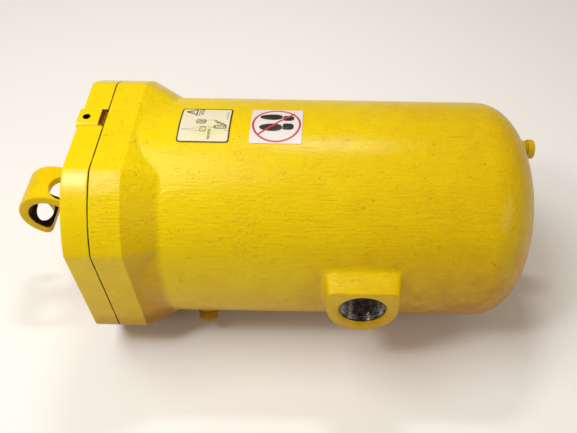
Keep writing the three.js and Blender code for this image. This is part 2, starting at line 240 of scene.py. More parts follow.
def shell_faces():
    """All quads but those of the hole; the hole's rim joins outer and inner skin cell by cell."""
    rows = shell.shape[0]
    quads = grid_faces(rows, COLS).reshape(rows - 1, COLS, 4)
    keep = np.ones((rows - 1, COLS), bool)
    n = len(along)
    keep[first_outer:first_outer + n - 1] &= ~hole_cell
    inner_top = rows - 2
    keep[inner_top - n + 1:inner_top] &= ~hole_cell[::-1]
    outer = lambda i, j: (first_outer + i) * COLS + j % COLS
    inner = lambda i, j: (inner_top - i) * COLS + j % COLS
    rim = []
    i, j = np.nonzero(hole_cell)
    neighbours = (
        (-1, 0, (0, 0), (0, 1)), (1, 0, (1, 1), (1, 0)), (0, -1, (1, 0), (0, 0)), (0, 1, (0, 1), (1, 1)),
    )
    for di, dj, a, b in neighbours:
        edge = ~hole_cell[(i + di) % hole_cell.shape[0], (j + dj) % COLS]
        p, q = i[edge], j[edge]
        a0, a1 = p + a[0], q + a[1]
        b0, b1 = p + b[0], q + b[1]
        rim.append(np.stack([outer(a0, a1), outer(b0, b1), inner(b0, b1), inner(a0, a1)], axis=-1))
    return np.concatenate([quads[keep]] + rim)


tank = make_piece("tank_shell", shell, shell_faces(), "tank", "yellow_enamel", "reservoir_body", sharp=50)

# %% [markdown]
# Three bosses stand out of the shell: the D-shaped one of the outlet, and two small round ones
# under the plugs. All are the same idea: an outline is carried inward from the boss's face, a
# little wider with depth as a pattern-maker's draft needs, and then flares onto the shell in a
# fillet. The fillet is a curve pulled towards the corner between wall and shell. For each point
# of the outline a root function says how far out the shell is there.

# %% Bosses with a fillet
def bossed(outline, face_out, root_out, draft, fillet, sink=0.0012, edge=0.0012, depth_rows=10):
    """Rows of (a, b, out) from the face's rim to just under the shell. outline is n x 2, about (0, 0)."""
    away = outline / np.linalg.norm(outline, axis=1, keepdims=True)
    rows = []
    for t in np.linspace(0, math.pi / 2, 4):
        height = np.full(len(outline), face_out - edge * (1 - math.cos(t)))
        rows.append(np.column_stack([outline - away * edge * (1 - math.sin(t)), height]))
    foot = outline + away * draft
    corner = np.column_stack([foot, root_out(foot[:, 0], foot[:, 1])])
    top = np.column_stack([outline, np.full(len(outline), face_out - edge)])
    reach = np.maximum(top[:, 2] - corner[:, 2], 1e-4)
    lift = np.minimum(fillet, reach * 0.8)
    start = corner + (top - corner) * (lift / reach)[:, None]
    spread = foot + away * fillet
    end = np.column_stack([spread, root_out(spread[:, 0], spread[:, 1])])
    for t in np.linspace(0, 1, depth_rows)[1:]:
        rows.append(top + (start - top) * t)
    for t in np.linspace(0, 1, 9)[1:]:
        rows.append((1 - t) ** 2 * start + 2 * t * (1 - t) * corner + t**2 * end)
    under = end.copy()
    under[:, 2] -= sink
    rows.append(under)
    return np.array(rows)


def d_outline(half, flat, count):
    """A half-circle below and a flat-topped square above, as the farthest point along each direction."""
    a = np.arange(count) * 2 * math.pi / count
    c, s = np.cos(a), np.sin(a)
    upper = 1 / np.maximum(np.abs(c) / half, np.abs(s) / flat)
    blend = (np.abs(c / half) ** 14 + np.abs(s / flat) ** 14) ** (-1 / 14)
    r = np.where(s < 0, half, np.minimum(blend, upper))
    return np.column_stack([r * c, r * s])


def ring(radius, count):
    a = np.arange(count) * 2 * math.pi / count
    return np.column_stack([radius * np.cos(a), radius * np.sin(a)])


def barrel_out(a, b):
    """How far out the barrel is, seen along a clock direction, at b across it."""
    return np.sqrt(np.maximum(TANK_R**2 - b**2, 0))


def outward(s, rows, angle):
    """(a along the axis, b across, out) becomes points: out is along the clock angle, b a quarter turn on."""
    a, b, out = rows[..., 0], rows[..., 1], rows[..., 2]
    x = S0 + s + a
    y = AXIS_Y - out * math.cos(angle) + b * math.sin(angle)
    z = AXIS_Z + out * math.sin(angle) + b * math.cos(angle)
    return np.stack([x, y, z], axis=-1)


def flat_ring(outline, out):
    return np.column_stack([outline, np.full(len(outline), out)])[None]


# %% The outlet's boss
PORT_FACE = 0.134
BORE = 0.02225
count = 192
port_side = bossed(d_outline(0.0345, 0.032, count), PORT_FACE, barrel_out, 0.0038, 0.0065)
port_rows = np.concatenate([
    flat_ring(ring(BORE + 0.0007, count), 0.094),
    flat_ring(ring(BORE + 0.0007, count), PORT_FACE - 0.0034),
    flat_ring(ring(BORE + 0.0030, count), PORT_FACE - 0.0002),
    flat_ring(ring(BORE + 0.0036, count), PORT_FACE),
    port_side, flat_ring(ring(0.031, count), 0.1045), flat_ring(ring(0.031, count), 0.092),
    flat_ring(ring(BORE + 0.0030, count), 0.092), flat_ring(ring(BORE + 0.0007, count), 0.094)])
port_points = outward(PORT_S, port_rows, 0.0)
port_boss = make_piece("port_boss", port_points, grid_faces(len(port_rows), count), "tank",
                       "yellow_enamel", "reservoir_body", sharp=40)

# %% [markdown]
# The outlet's thread is bare metal. Its radius swings in and out in a rounded saw-tooth while the
# phase moves one pitch for each turn round the bore, and that is all a screw thread is.

# %% The outlet's thread
PITCH = 2.309 * MM
THREAD_IN, THREAD_OUT = 0.0945, PORT_FACE - 0.0030
out_rows = np.linspace(THREAD_IN, THREAD_OUT, 190)
a = np.arange(count) * 2 * math.pi / count
phase = out_rows[:, None] / PITCH - a[None, :] / (2 * math.pi)
tooth = np.abs(2 * (phase % 1) - 1)
tooth = np.clip(1.35 * tooth - 0.17, 0, 1)
fade_in = np.clip((out_rows - THREAD_IN) / 0.004, 0, 1)
fade_out = np.clip((THREAD_OUT - 0.0006 - out_rows) / 0.0025, 0, 1)
runout = (fade_in * fade_out)[:, None]
thread_r = BORE + 0.0002 - 0.00125 * tooth * runout
thread_out = np.broadcast_to(out_rows[:, None], thread_r.shape)
thread = np.stack([thread_r * np.cos(a), thread_r * np.sin(a), thread_out], axis=-1)
sleeve_back = ring(BORE + 0.0005, count)
sleeve = np.concatenate([
    flat_ring(sleeve_back, THREAD_IN), thread, flat_ring(sleeve_back, THREAD_OUT),
    flat_ring(sleeve_back, THREAD_IN)])
port_thread = make_piece("port_thread", outward(PORT_S, sleeve, 0.0), grid_faces(len(sleeve), count), "tank",
                         "dark_steel", "reservoir_body", sharp=60)

# %% The small bosses under the plugs
LEVEL_S, LEVEL = 0.087, math.radians(-45)
DRAIN_R, DRAIN = 0.066, math.radians(135)
LEVEL_SEAT, DRAIN_SEAT, DRAIN_TIP = 0.118, 0.431, 0.4405
n = 64
level_side = bossed(ring(0.0112, n), LEVEL_SEAT, barrel_out, 0.0012, 0.0050, edge=0.0007, depth_rows=3)
level_rows = np.concatenate([flat_ring(ring(0.0068, n), 0.108), flat_ring(ring(0.0068, n), LEVEL_SEAT),
                             level_side,
                             flat_ring(ring(0.0115, n), 0.1075), flat_ring(ring(0.0068, n), 0.108)])
level_points = outward(LEVEL_S, level_rows, LEVEL)
level_boss = make_piece("level_boss", level_points, grid_faces(len(level_rows), n), "tank",
                        "yellow_enamel", "reservoir_body")
drain_y, drain_z = -DRAIN_R * math.cos(DRAIN), DRAIN_R * math.sin(DRAIN)


def dome_out(a, b):
    """How far along the axis the dome is, at a and b from the drain's own axis."""
    r = np.clip(np.hypot(drain_y + a, drain_z + b) / TANK_R, 0, 1)
    return CYLINDER_END + DOME_DEPTH * (1 - r**DOME_POWER) ** (1 / DOME_POWER)


def along_axis(rows, y=drain_y, z=drain_z):
    """(a, b, out) becomes points whose out is along the tank's axis."""
    return np.stack([S0 + rows[..., 2], AXIS_Y + y + rows[..., 0], AXIS_Z + z + rows[..., 1]], axis=-1)


drain_side = bossed(ring(0.0092, n), DRAIN_SEAT, dome_out, 0.0006, 0.0045, edge=0.0006, depth_rows=5)
drain_rows = np.concatenate([flat_ring(ring(0.0068, n), 0.424), flat_ring(ring(0.0068, n), DRAIN_SEAT),
                             drain_side,
                             flat_ring(ring(0.0092, n), 0.414), flat_ring(ring(0.0068, n), 0.424)])
drain_boss = make_piece("drain_boss", along_axis(drain_rows), grid_faces(len(drain_rows), n), "tank",
                        "yellow_enamel", "reservoir_body")

# %% [markdown]
# The cover is a thick plate with the flange's own outline. Its plate is a grid like the tank's:
# the back face, the rounded rim, the front face. The pad for the vent and the screw holes break
# that simple form, so they are joined and cut with Boolean modifiers, and the modifiers are then
# applied, which leaves one clean mesh.

# %% Boolean helper
def cut(piece, tools, operation="DIFFERENCE"):
    """Joins or cuts piece with each tool object in turn, applies the result and removes the tools."""
    for tool in tools:
        step = piece.modifiers.new(tool.name, "BOOLEAN")
        step.operation, step.object, step.solver = operation, tool, "EXACT"
    bpy.context.view_layer.update()
    mesh = bpy.data.meshes.new_from_object(piece.evaluated_get(bpy.context.evaluated_depsgraph_get()))
    piece.modifiers.clear()
    old, piece.data = piece.data, mesh
    bpy.data.meshes.remove(old)
    for tool in tools:
        bpy.data.objects.remove(tool)
    return piece


def finish_edges(piece, sharp=32.0):
    piece.data.shade_smooth()
    piece.data.set_sharp_from_angle(angle=math.radians(sharp))
    print(f"{piece.name}: {len(piece.data.polygons)} faces")


def lidded_faces(rows, cols):
    """The quads of a closed grid, and one many-sided face on its first row and one on its last."""
    lids = [list(range(cols))[::-1], list(range((rows - 1) * cols, rows * cols))]
    return grid_faces(rows, cols).tolist() + lids


def loft_tool(name, rows):
    """A closed solid from rows of equal length, its first and last row closed by a flat face."""
    r, c = rows.shape[:2]
    return make_piece(name, rows, lidded_faces(r, c), None, None)


def rod(name, radius, start, end, y, z, sides=48):
    """A round bar along the tank's axis, at y and z from it, between two axial places."""
    c = ring(radius, sides)
    rows = np.stack([np.column_stack([c, np.full(sides, start)]), np.column_stack([c, np.full(sides, end)])])
    return loft_tool(name, along_axis(rows, y, z))


# %% The cover's plate
edge = flange_radius(clock)
back_s, front_s = -0.0003, -COVER_T
fillet_r = 0.0013
plate = [place(back_s, np.full(COLS, 0.09), clock), place(back_s, (edge + 0.09) / 2, clock)]
plate += [place(back_s - lip * (1 - math.cos(t)), edge - lip * (1 - math.sin(t)), clock) for t in turn]
plate += [place(s, edge, clock) for s in np.linspace(back_s - lip, front_s + fillet_r, 14)]
for t in np.linspace(0, math.pi / 2, 7)[1:]:
    plate.append(place(front_s + fillet_r * (1 - math.sin(t)), edge - fillet_r * (1 - math.cos(t)), clock))
plate += [place(front_s, (edge - fillet_r) * k, clock) for k in (0.85, 0.6, 0.3)]
plate = np.array(plate)
plate_faces = lidded_faces(len(plate), COLS)
cover = make_piece("cover_plate", plate, plate_faces, "tank", "yellow_enamel", "end_cover")


def rounded_block(name, low, high, radius, steps=7):
    """A box with rounded edges: a cube's grid is pulled in by radius, then pushed out along a unit ball."""
    corner = np.linspace(0, math.pi / 2, steps)
    low, high = np.array(low), np.array(high)
    centre, half = (low + high) / 2, (high - low) / 2
    polar = np.concatenate([-math.pi / 2 + corner, corner])
    azimuth = np.concatenate([corner + k * math.pi / 2 for k in range(4)])
    p, q = np.meshgrid(polar, azimuth, indexing="ij")
    ball = np.stack([np.cos(p) * np.cos(q), np.cos(p) * np.sin(q), np.sin(p)], axis=-1)
    quarter = np.arange(4).repeat(steps)
    sx = np.where((quarter == 0) | (quarter == 3), 1, -1)[None, :]
    sy = np.where(quarter < 2, 1, -1)[None, :]
    sz = np.where(np.arange(2).repeat(steps) == 0, -1, 1)[:, None]
    sign = np.stack(np.broadcast_arrays(sx, sy, sz), axis=-1)
    return loft_tool(name, centre + sign * (half - radius) + ball * radius)


pad_outline = np.array([[-4.2, 92], [20.2, 92], [20.2, 117.2], [19.7, 118.2], [18.8, 119.6],
                        [18.0, 120], [-0.9, 120], [-1.7, 119.7], [-4.0, 117.4], [-4.2, 117.0]]) / 1000
pad_middle = np.array([0.008, 0.105])
pad_rows = []
for s, k in ((-0.0005, 1), (-COVER_T - 0.0006, 1), (-COVER_T - 0.0012, 0.97)):
    scaled = (pad_outline - pad_middle) * k + pad_middle
    pad_rows.append(np.column_stack([scaled, np.full(len(pad_outline), s)]))
cut(cover, [loft_tool("vent_pad", along_axis(np.array(pad_rows), 0, 0))], "UNION")
SCREW_R = 0.1195
corners = [(SCREW_R * math.cos(t), SCREW_R * math.sin(t)) for t in np.radians([45, 135, 225, 315])]
tools = [rod(f"seat_{i}", 0.0086, -0.04, -COVER_T + 0.011, y, z) for i, (y, z) in enumerate(corners)]
tools += [rod(f"hole_{i}", 0.0055, -0.03, 0.005, y, z) for i, (y, z) in enumerate(corners)]
VENT_S, VENT_Y = -0.018, 0.0075
vent = np.stack([np.column_stack([ring(0.0034, 32), np.full(32, z)]) for z in (0.101, 0.13)])
tools.append(loft_tool("vent_hole", outward(VENT_S, vent, math.pi / 2) + np.array([0, VENT_Y, 0])))
slot_low = place(-0.0046, 0, 0) + np.array([0, -0.002, 0.1156])
slot_high = place(0.004, 0, 0) + np.array([0, 0.018, 0.130])
tools.append(rounded_block("pry_slot", slot_low, slot_high, 0.0012))
cut(cover, tools)
finish_edges(cover)

# %% [markdown]
# A register on the cover's back face centres it in the tank's mouth, and carries the groove of the
# rubber ring. It is a turned form: a profile of places and radii, carried once round the axis.

# %% Turned forms, round or six-sided
def turned(profile, sides=96):
    """Rows of (a, b, out) for a profile of (radius, out) or (radius, out, "hex"), round its own axis."""
    a = np.arange(sides) * 2 * math.pi / sides
    flat = np.cos((a + math.pi / 6) % (math.pi / 3) - math.pi / 6)
    rows = []
    for point in profile:
        r = point[0] / flat * (math.cos(math.pi / 6) if len(point) > 2 else flat)
        rows.append(np.column_stack([r * np.cos(a), r * np.sin(a), np.full(sides, point[1])]))
    return np.array(rows)


def turned_piece(name, profile, where, body, slot, *nodes, sides=96, sharp=35):
    rows = turned(profile, sides)
    return make_piece(name, where(rows), grid_faces(len(rows), sides), body, slot, *nodes, sharp=sharp)


spigot = [(0.0945, -0.004), (0.1065, -0.004), (0.1065, 0.003), (0.103, 0.003), (0.103, 0.007),
          (0.1065, 0.007), (0.1065, 0.0112), (0.1057, 0.012), (0.0953, 0.012), (0.0945, 0.0112),
          (0.0945, -0.004)]
turned_piece("cover_register", spigot, lambda rows: along_axis(rows, 0, 0), "tank", "yellow_enamel",
             "end_cover", sides=192)

# %% Cover screws with hexagon sockets
def screw_profile(head, shank, top, under, end, socket, deep):
    """From the shank's tip up to the head's rim and down into the socket. top is the outermost place."""
    d = 1 if top > end else -1
    floor_of_socket = top - d * (deep + 0.0015)
    return [(0, end), (shank - 0.001, end), (shank, end + d * 0.001), (shank, under), (head, under),
            (head, top - d * 0.0008), (head - 0.0003, top - d * 0.0003), (head - 0.0009, top),
            (socket + 0.0008, top), (socket, top - d * 0.0007, "hex"), (socket, top - d * deep, "hex"),
            (0.0004, floor_of_socket), (0, floor_of_socket)]


profile = screw_profile(0.008, 0.0048, -COVER_T + 0.0009, -COVER_T + 0.0107, 0.022, 0.0046, 0.005)
for i, (y, z) in enumerate(corners, 1):
    turned_piece(f"cap_screw_{i}", profile, lambda rows: along_axis(rows, -y, z), "tank", "dark_steel",
                 f"cover_screw_{i}")

# %% Plugs and washers
head = DRAIN_SEAT + 0.0019
drain_profile = [(0, 0.413), (0.0055, 0.413), (0.0064, 0.414), (0.0064, head), (0.0104, head),
                 (0.0104, DRAIN_TIP - 0.0023), (0.0101, DRAIN_TIP - 0.0014), (0.0094, DRAIN_TIP - 0.0006),
                 (0.0083, DRAIN_TIP - 0.0001), (0.0072, DRAIN_TIP),
                 (0.0048, DRAIN_TIP), (0.004, DRAIN_TIP - 0.0006, "hex"), (0.004, DRAIN_TIP - 0.004, "hex"),
                 (0.0004, DRAIN_TIP - 0.0046), (0, DRAIN_TIP - 0.0046)]
turned_piece("drain_cap", drain_profile, along_axis, "drain_screw", "yellow_enamel", "drain_plug")
washer = [(0.0072, 0), (0.0094, 0), (0.0096, 0.0003), (0.0096, 0.001), (0.0094, 0.0013), (0.0072, 0.0013),
          (0.0072, 0)]
turned_piece("drain_ring", [(r, DRAIN_SEAT + 0.0003 + o) for r, o in washer], along_axis, "drain_slider",
             "copper_washer", "drain_washer")
foot = LEVEL_SEAT + 0.0019
bend = np.linspace(0, math.pi / 2, 12)
level_profile = [(0, 0.104), (0.0055, 0.104), (0.0064, 0.105), (0.0064, foot), (0.0097, foot),
                 (0.01, foot + 0.0003), (0.01, foot + 0.0038)]
for t in bend[1:-1]:
    level_profile.append((0.01 * math.cos(t) ** 0.8, foot + 0.0038 + 0.0078 * math.sin(t) ** 0.9))
level_profile.append((0, foot + 0.0116))
turned_piece("level_cap", level_profile, lambda rows: outward(LEVEL_S, rows, LEVEL), "level_screw",
             "yellow_enamel", "level_plug")
BROADER = 0.0012  # the level plug's washer is this much larger outside, with the same hole
level_ring = [(r + BROADER * (r > washer[0][0]), LEVEL_SEAT + 0.0003 + o) for r, o in washer]
turned_piece("level_ring", level_ring, lambda rows: outward(LEVEL_S, rows, LEVEL), "level_slider",
             "copper_washer", "level_washer")
vent_profile = [(0, 0.1014), (0.0030, 0.1014), (0.0030, 0.1097), (0.0027, 0.11), (0.0019, 0.11),
                (0.0016, 0.1097, "hex"), (0.0016, 0.1072, "hex"), (0.0002, 0.1066), (0, 0.1066)]
vent_shift = np.array([0, VENT_Y, 0])
turned_piece("vent_grub", vent_profile, lambda rows: outward(VENT_S, rows, math.pi / 2) + vent_shift, "tank",
             "dark_steel", "vent_screw", sides=48)

# %% [markdown]
# The bypass valve's spring stands on its retainer and holds the poppet shut, 21 mm tall. When the
# poppet is pushed down by 5 mm the spring is pressed to 16 mm.

# %% The bypass spring
def coil(radius, wire, low, high, turns, steps=480, around=14):
    """A helix about the upright axis; at every step a ring of the wire's radius, square to the helix."""
    a = np.linspace(0, 2 * math.pi * turns, steps)
    climb = (high - low) / (2 * math.pi * turns)
    middle = np.stack([radius * np.cos(a), radius * np.sin(a), low + climb * a], axis=-1)
    ahead = np.stack([-radius * np.sin(a), radius * np.cos(a), np.full_like(a, climb)], axis=-1)
    ahead /= np.linalg.norm(ahead, axis=-1, keepdims=True)
    out = np.stack([np.cos(a), np.sin(a), np.zeros_like(a)], axis=-1)
    rise = np.cross(ahead, out)
    b = (np.arange(around) / around * 2 * math.pi)[None, :, None]
    rings = middle[:, None] + wire * (np.cos(b) * out[:, None] + np.sin(b) * rise[:, None])
    ends = [np.repeat(middle[k][None, None], around, axis=1) for k in (0, -1)]
    return np.concatenate([ends[0], rings, ends[1]])


coil_at = np.array([S0 + PORT_S, AXIS_Y + 0.044, AXIS_Z])
coil_points = coil(0.0074, 0.0007, -0.0130, 0.0066, 4) + coil_at
coil_faces = grid_faces(*coil_points.shape[:2])
bypass_coil = make_piece("bypass_coil", coil_points, coil_faces, "tank", "dark_steel", "bypass_spring")
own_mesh(bypass_coil)

# %% [markdown]
# The lifting eye is a broad strap of metal curled forward into an open ring. Its section, a
# rectangle with rounded corners, is carried round an arc; two oval windows are cut through it, and a
# block ties it to the cover. Cast pieces have soft inside corners everywhere. Remeshing the joined
# form into small even cells, and letting the surface relax a little, gives such corners by itself.

# %% The lifting eye
EYE_S, EYE_Z, EYE_OUT, EYE_IN, EYE_HALF = -0.082, 0.0015, 0.0315, 0.021, 0.023


def in_eye(x, y, z):
    return np.stack(np.broadcast_arrays(S0 + EYE_S + x, AXIS_Y + y, AXIS_Z + EYE_Z + z), axis=-1)


def strap(name, inner, outer, low, high, near, far, corner, steps, end_round=0.0):
    """A rounded rectangular section carried round the eye's own axis, angles in degrees."""
    t = np.linspace(0, math.pi / 2, 5)
    mid, half_r, half_y, y0 = (inner + outer) / 2, (outer - inner) / 2, (far - near) / 2, (far + near) / 2
    quarter = np.repeat(np.arange(4), 5) * math.pi / 2 + np.tile(t, 4)
    sr = np.repeat([1, -1, -1, 1], 5)
    sy = np.repeat([1, 1, -1, -1], 5)
    section_r = mid + sr * (half_r - corner) + corner * np.cos(quarter)
    section_y = sy * (half_y - corner) + corner * np.sin(quarter)
    angle = np.radians(np.linspace(low, high, steps))
    past = np.zeros(steps)
    if end_round:
        past = np.clip(1 - (math.radians(high) - angle) * mid / end_round, 0, 1)
    squeeze = 1 - (1 - np.sqrt(np.maximum(1 - past**2, 0.0))) * (end_round / half_y if end_round else 0)
    y = y0 + section_y[None, :] * squeeze[:, None]
    x = section_r[None, :] * np.cos(angle[:, None])
    z = section_r[None, :] * np.sin(angle[:, None])
    return loft_tool(name, in_eye(x, y, z))


eye = strap("eye_strap", EYE_IN, EYE_OUT, -12, 259, -EYE_HALF, EYE_HALF, 0.0016, 90, end_round=0.006)
eye.name = "eye_casting"
block_low = in_eye(0.0225, -EYE_HALF + 0.0002, -0.0185)
block_high = in_eye(-EYE_S - COVER_T - 0.0004, EYE_HALF - 0.0002, 0.0255)
block = rounded_block("eye_block", block_low, block_high, 0.003)
foot_profile = ((0.030, 0.0072), (0.032, 0.0066), (0.034, 0.0010), (0.034, 0.0004))
foot_rows = [np.column_stack([ring(r, 96), np.full(96, -COVER_T - ahead)]) for r, ahead in foot_profile]
foot_tool = loft_tool("eye_foot", along_axis(np.array(foot_rows), 0, 0))
cut(eye, [block, foot_tool], "UNION")
around = ring(EYE_IN, 96)
bore = loft_tool("eye_clear", in_eye(around[None, :, 0], np.array([[-0.03], [0.03]]), around[None, :, 1]))


def window_tool(name, middle, half_angle, y, half_width):
    """An oval carried outward from the eye's axis: angle along the strap, width across it."""
    t = np.arange(72) * 2 * math.pi / 72
    a = np.radians(middle + half_angle * np.cos(t))
    radius = np.linspace(EYE_IN - 0.003, EYE_OUT + 0.003, 6)[:, None]
    across = (y + half_width * np.sin(t))[None, :]
    return loft_tool(name, in_eye(radius * np.cos(a), across, radius * np.sin(a)))


lower = window_tool("lower_window", 224, 26, 0.0, 0.0152)
upper = window_tool("upper_window", 58, 24, -0.0055, 0.0146)
cut(eye, [bore, lower, upper])
grain = eye.modifiers.new("even_cells", "REMESH")
grain.mode, grain.voxel_size, grain.use_smooth_shade = "VOXEL", 0.00075, True
relax = eye.modifiers.new("relax", "SMOOTH")
relax.factor, relax.iterations = 0.5, 7
cut(eye, [])
eye.data.shade_smooth()
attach(eye, "tank")
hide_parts("lifting_eye")
print("eye:", len(eye.data.polygons), "faces")

# %% [markdown]
# The two labels are printed film, laid on the barrel just above the paint. Each is a fine grid
# bent to the barrel, and its print is worked out as distances to simple marks, so the edge of
# every line is crisp. The colours are kept in an attribute of the points, which the material
# reads. One label warns in general terms with a triangle and a small diagram; the other has a ring
# and a bar across two shoe soles.

# %% Printed labels
def label_grid(n, corner):
    """Points of a square from -1 to 1, pulled in at its corners so that they are rounded."""
    u, w = np.meshgrid(np.linspace(-1, 1, n), np.linspace(-1, 1, n), indexing="ij")
    m = np.maximum(np.abs(u), np.abs(w))
    safe = np.maximum(m, 1e-9)
    eu, ew = np.abs(u) / safe, np.abs(w) / safe
    flat = 1 - corner
    past = np.minimum(eu, ew) - flat
    a = np.clip(past / corner, 0, 1) * math.pi / 4
    long = flat + corner * np.cos(a)
    short = np.where(past > 0, flat + corner * np.sin(a), np.minimum(eu, ew))
    along_u = eu >= ew
    x = np.where(along_u, long, short) * np.sign(u) * m
    y = np.where(along_u, short, long) * np.sign(w) * m
    return x, y


def segment(x, y, ax, ay, bx, by):
    """Distance to a straight line between two points."""
    t = np.clip(((x - ax) * (bx - ax) + (y - ay) * (by - ay)) / ((bx - ax) ** 2 + (by - ay) ** 2), 0, 1)
    return np.hypot(x - ax - t * (bx - ax), y - ay - t * (by - ay))


def oval(x, y, cx, cy, rx, ry, power=2.0):
    """Under 0 inside an oval, over 0 outside, roughly in the label's own units."""
    reach = ((np.abs(x - cx) / rx) ** power + (np.abs(y - cy) / ry) ** power) ** (1 / power)
    return (reach - 1) * min(rx, ry)


def ink(colour, distance, tint, soft=0.006):
    """Lays a colour where distance is under 0."""
    cover_by = np.clip(0.5 - distance / soft, 0, 1)[..., None]
    return colour * (1 - cover_by) + np.array(tint) * cover_by


BLACK, RED = (0.012, 0.011, 0.012), (0.50, 0.03, 0.05)


def sole(x, y, cy, tall, heel_y, heel_tall):
    """A shoe's sole lying along the label: a forefoot that tapers to its toe, and a heel with a flat edge."""
    lean = np.clip((x + 0.66) / 0.88, 0, 1)
    half = tall * np.sqrt(np.clip(1 - (2 * lean - 1) ** 2, 0, 1)) ** 0.8 * (0.80 + 0.28 * lean)
    front = np.maximum(np.abs(y - cy) - half, np.abs(x + 0.22) - 0.44)
    heel = np.maximum(oval(x, y, 0.43, heel_y, 0.24, heel_tall, 2.8), 0.235 - x + 0.10 * (y - heel_y))
    return np.minimum(front, heel)


def no_step_print(x, y):
    colour = np.ones(x.shape + (3,)) * np.array([0.76, 0.71, 0.71])
    colour = ink(colour, sole(x, y, 0.46, 0.200, 0.39, 0.170), BLACK, soft=0.02)
    colour = ink(colour, sole(x, y, -0.17, 0.225, -0.12, 0.185), BLACK, soft=0.02)
    colour = ink(colour, segment(x, y, -0.68, -0.56, 0.64, 0.68) - 0.042, RED)
    return ink(colour, np.abs(np.hypot(x, y) - 0.905) - 0.042, RED)


def caution_print(x, y):
    colour = np.ones(x.shape + (3,)) * np.array([0.78, 0.73, 0.52])
    clouds = (
        (-0.60, -0.05, 0.32, 0.30, (0.80, 0.68, 0.62)),
        (0.15, -0.38, 0.75, 0.42, (0.74, 0.70, 0.36)),
        (0.20, 0.60, 0.45, 0.28, (0.76, 0.73, 0.58)),
    )
    for cx, cy, rx, ry, tint in clouds:
        colour = ink(colour, oval(x, y, cx, cy, rx, ry) + 0.1, tint, soft=0.35)
    marks = []
    a, b, c = (-0.82, 0.74), (-0.40, 0.92), (-0.40, 0.54)
    marks += [(p, q, 0.026) for p, q in ((a, b), (b, c), (c, a))]
    marks += [((-0.66, 0.735), (-0.52, 0.735), 0.030), ((-0.74, 0.74), (-0.72, 0.74), 0.022),
              ((-0.30, 0.97), (-0.30, 0.50), 0.014), ((-0.30, 0.50), (-0.42, 0.47), 0.014)]
    for i in range(7):
        y0 = 0.93 - 0.060 * i
        marks.append(((-0.25, y0), (-0.13 - 0.03 * (i % 3 == 1), y0), 0.015))
        marks.append(((0.80, 0.74 - 0.075 * i), (0.88 - 0.03 * (i % 2), 0.74 - 0.075 * i), 0.012))
    for i in range(9):
        y0 = -0.36 - 0.058 * i
        marks.append(((0.16 + 0.02 * (i % 2), y0), (0.25 - 0.025 * (i % 3 == 2), y0), 0.017))
    for k in range(6):
        lean = 0.055 * k
        marks.append(((-0.30 + lean, 0.01 + 0.02 * (k % 2)), (-0.24 + lean, 0.22 - 0.015 * k), 0.014))
        marks.append(((0.44 + 0.06 * k, -0.12), (0.44 + 0.06 * k, -0.27), 0.011))
        marks.append(((-0.17 + 0.09 * k, 0.16 + 0.008 * k), (-0.13 + 0.09 * k, 0.16 + 0.008 * k), 0.010))
    marks += [((0.33, 0.20), (0.62, 0.03), 0.016), ((0.36, 0.10), (0.62, -0.06), 0.014),
              ((0.62, 0.03), (0.86, -0.13), 0.016), ((0.40, 0.20), (0.52, 0.02), 0.014),
              ((0.56, 0.10), (0.70, -0.10), 0.014), ((0.72, 0.02), (0.84, -0.22), 0.014)]
    marks += [((-0.86, -0.34), (-0.20, -0.27), 0.006), ((-0.86, -0.36), (0.00, -0.46), 0.006),
              ((-0.18, -0.20), (0.08, -0.20), 0.010), ((-0.14, -0.32), (0.04, -0.42), 0.009),
              ((0.16, -0.20), (0.34, -0.24), 0.010)]
    for p, q, wide in marks:
        colour = ink(colour, segment(x, y, *p, *q) - wide, (0.045, 0.040, 0.030))
    for cx, cy, rx, ry in ((-0.16, 0.11, 0.18, 0.13), (0.60, -0.20, 0.22, 0.10), (-0.05, -0.34, 0.11, 0.12)):
        colour = ink(colour, np.abs(oval(x, y, cx, cy, rx, ry, 3)) - 0.012, (0.06, 0.055, 0.04))
    colour = ink(colour, np.abs(oval(x, y, 0.88, -0.34, 0.07, 0.07, 6)) - 0.016, (0.45, 0.38, 0.08))
    rim = np.maximum(np.abs(x), np.abs(y))
    corner = np.hypot(np.maximum(np.abs(x) - 0.84, 0), np.maximum(np.abs(y) - 0.84, 0)) + 0.84
    return ink(colour, 0.945 - np.where((np.abs(x) > 0.84) & (np.abs(y) > 0.84), corner, rim), BLACK)


def label(name, from_s, to_s, print_of, slot, node, corner, n=241):
    """A grid from one axial place to another, 25 degrees wide at clock 93, coloured by its print."""
    x, y = label_grid(n, corner)
    s = (from_s + to_s) / 2 + x * (to_s - from_s) / 2
    angle = np.radians(93 + 12.5 * y)
    curl = 0.00012 * (np.abs(x) ** 8 + np.abs(y) ** 8)
    points = place(s, TANK_R + 0.00045 + curl * 0.6, angle)
    piece = make_piece(name, points, grid_faces(n, n, closed=False), "tank", slot, node, sharp=80, merge=1e-7)
    at = np.empty(len(piece.data.vertices) * 3)
    piece.data.vertices.foreach_get("co", at)
    at = at.reshape(-1, 3)
    px = (at[:, 0] - S0 - (from_s + to_s) / 2) / ((to_s - from_s) / 2)
    py = (np.degrees(np.arctan2(at[:, 2] - AXIS_Z, AXIS_Y - at[:, 1])) - 93) / 12.5
    colour = np.ones((len(px), 4))
    colour[:, :3] = print_of(px, py)
    layer = piece.data.color_attributes.new("ink", "FLOAT_COLOR", "POINT")
    layer.data.foreach_set("color", colour.ravel())
    wall = piece.modifiers.new("film", "SOLIDIFY")
    wall.thickness, wall.offset = 0.00015, -1
    return piece


caution = label("caution_label", 0.0714, 0.1217, caution_print, "cream_label", "caution_decal", 0.14)
no_step = label("no_step_label", 0.1410, 0.1915, no_step_print, "white_label", "no_step_decal", 0.05)

# %% [markdown]
# ## Finishes
#
# A material here is a small graph of nodes, so one short helper adds a node, sets its values and
# joins its inputs. All patterns are measured in Object coordinates: metres on the part itself.

